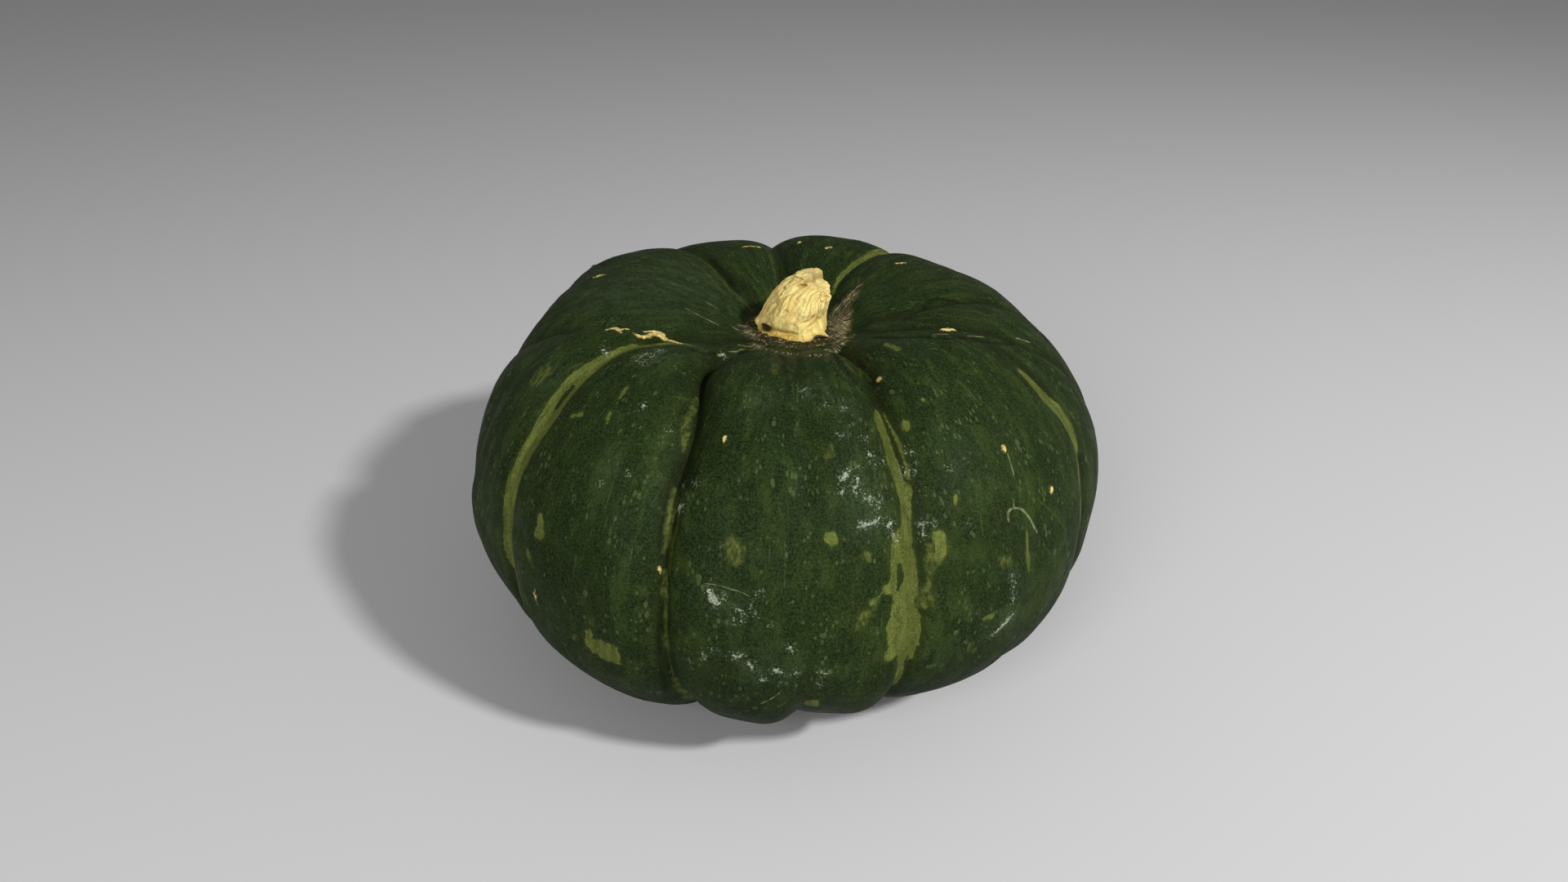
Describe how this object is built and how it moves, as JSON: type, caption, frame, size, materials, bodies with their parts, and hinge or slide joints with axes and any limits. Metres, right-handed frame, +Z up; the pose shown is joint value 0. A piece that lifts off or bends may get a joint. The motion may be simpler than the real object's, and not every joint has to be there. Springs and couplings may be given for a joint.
{
  "type": "squash",
  "caption": "Ribbed dark green winter squash, wider than it is tall, with a dry corky stem stub in the hollow on top; rests on the undersides of its lobes.",
  "frame": {"origin": "middle of the squash's outline seen from above, on the plane it rests on", "axes": "+Z up along the fruit's axis towards the stem, +X to the right and -Y towards the side with the widest pale stripes"},
  "size_m": [0.1782, 0.186, 0.1024],
  "materials": {
    "rind": "satin",
    "dry_stem": "matte"
  },
  "bodies": {
    "root": {"squash_body": "rind", "stem": "dry_stem"}
  },
  "joints": []
}
